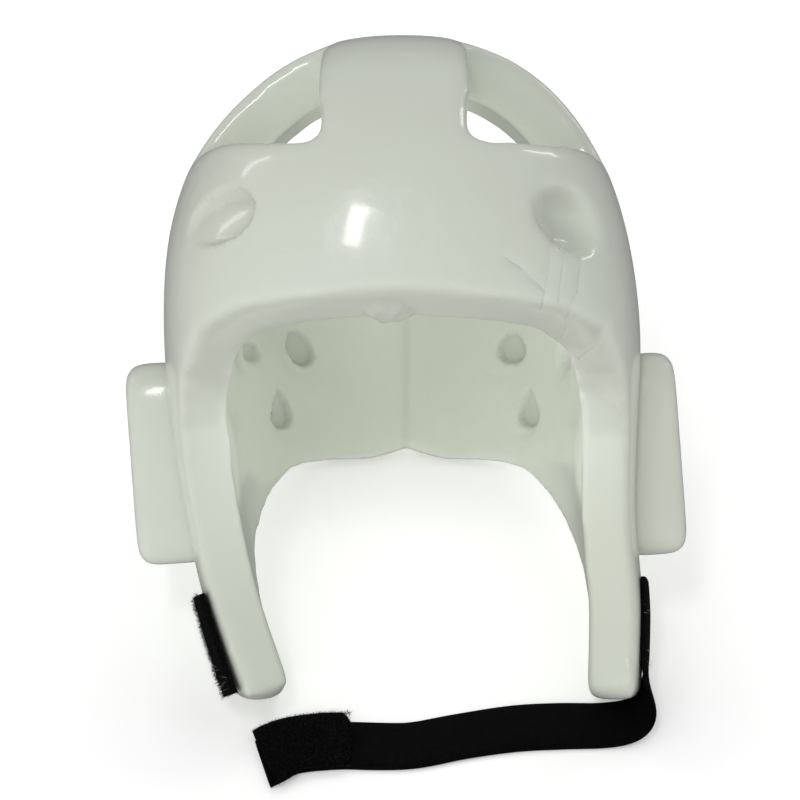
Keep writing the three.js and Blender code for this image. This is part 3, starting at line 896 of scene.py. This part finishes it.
def make_patch(pile, strand):
    body = tape("arm_loop_patch", PATCH_WAY, PATCH_WIDTH, PATCH_THICKNESS, pile, 60)
    fur = fibres("loop_patch_fibres", PATCH_WAY, PATCH_WIDTH, PATCH_THICKNESS, strand, 3600, 0.0018, 9)
    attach(body, "root")
    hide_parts("loop_patch")
    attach(fur, "root")
    return body, fur


# The table, light and surroundings

TABLE_SIZE = 12.0
TABLE_GLOW = 0.26
# The world's light, and what is taken off it where the coat mirrors it
WORLD_LIGHT, WORLD_DIMMED = 0.50, 0.34


def make_stage():
    floor = Finish("pale_table", Roughness=0.95, Base_Color=rgb(0.96, 0.96, 0.96),
                   Specular_IOR_Level=0.1, Emission_Color=rgb(1.0, 1.0, 1.0),
                   Emission_Strength=TABLE_GLOW)
    bpy.ops.mesh.primitive_plane_add(size=TABLE_SIZE, location=(0, 0, 0))
    table = bpy.context.object
    table.name = "pale_table"
    table.data.materials.append(floor.material)
    table.visible_glossy = False
    world = bpy.data.worlds.new("studio")
    world.use_nodes = True
    world.node_tree.nodes["Background"].inputs[0].default_value = rgb(1.0, 1.0, 1.0)
    tree = world.node_tree
    path = tree.nodes.new("ShaderNodeLightPath")
    mirrored = Sock(tree, path.outputs["Is Glossy Ray"])
    put(tree, tree.nodes["Background"].inputs[1], WORLD_LIGHT - mirrored * WORLD_DIMMED)
    scene.world = world
    scene.view_settings.view_transform = "Standard"


# Soft boxes: name, direction from the ear in the camera's axes (right, up, towards the camera),
# distance, width, height, power, and whether the coat mirrors them
LIGHTS = [
    ("key", -0.19, 0.44, 1.0, 1.6, 0.17, 0.38, 3.4, True),
    ("right_strip", 0.67, 0.74, -0.1, 1.5, 0.10, 0.5, 1.1, True),
    ("left_strip", -0.70, 0.62, 0.1, 1.5, 0.07, 0.4, 0.55, True),
    ("front_fill", -0.35, -0.3, 1.0, 1.7, 1.1, 0.9, 7.0, False),
    ("top_fill", 0.0, 1.0, -0.25, 1.7, 1.4, 1.2, 6.4, False),
    ("hollow_fill", 0.0, 0.4, 0.6, 0.05, 0.05, 0.05, 0.075, False),
]
# A light this near to the ear is a small ball
NEAR = 0.1


def make_lights():
    for name, right, up, near, far, wide, tall, power, mirrored in LIGHTS:
        way = RIGHT * right + UP * up - FORWARD * near
        spot = EAR + way / np.linalg.norm(way) * far
        data = bpy.data.lights.new(name, "POINT" if far < NEAR else "AREA")
        if data.type == "AREA":
            data.shape = "RECTANGLE"
            data.size = wide
            data.size_y = tall
        else:
            data.shadow_soft_size = wide / 2
        data.energy = power
        lamp = bpy.data.objects.new(name, data)
        lamp.location = Vector(spot)
        lamp.rotation_euler = Vector(EAR - spot).to_track_quat("-Z", "Y").to_euler()
        lamp.visible_glossy = mirrored
        scene.collection.objects.link(lamp)


coat = make_coat()
make_shell(coat)
make_guard("left", coat)
make_guard("right", coat)
strap = make_strap(make_elastic())
pile = make_pile("dull_pile")
strand = make_thread("black_fibre", rgb(0.005, 0.005, 0.006))
pad, pad_fur = make_pad(pile, strand)
patch, patch_fur = make_patch(pile, strand)
patch_threads, strap_threads = make_threads(make_thread("pale_thread", rgb(0.45, 0.45, 0.40)))
make_stage()
make_lights()
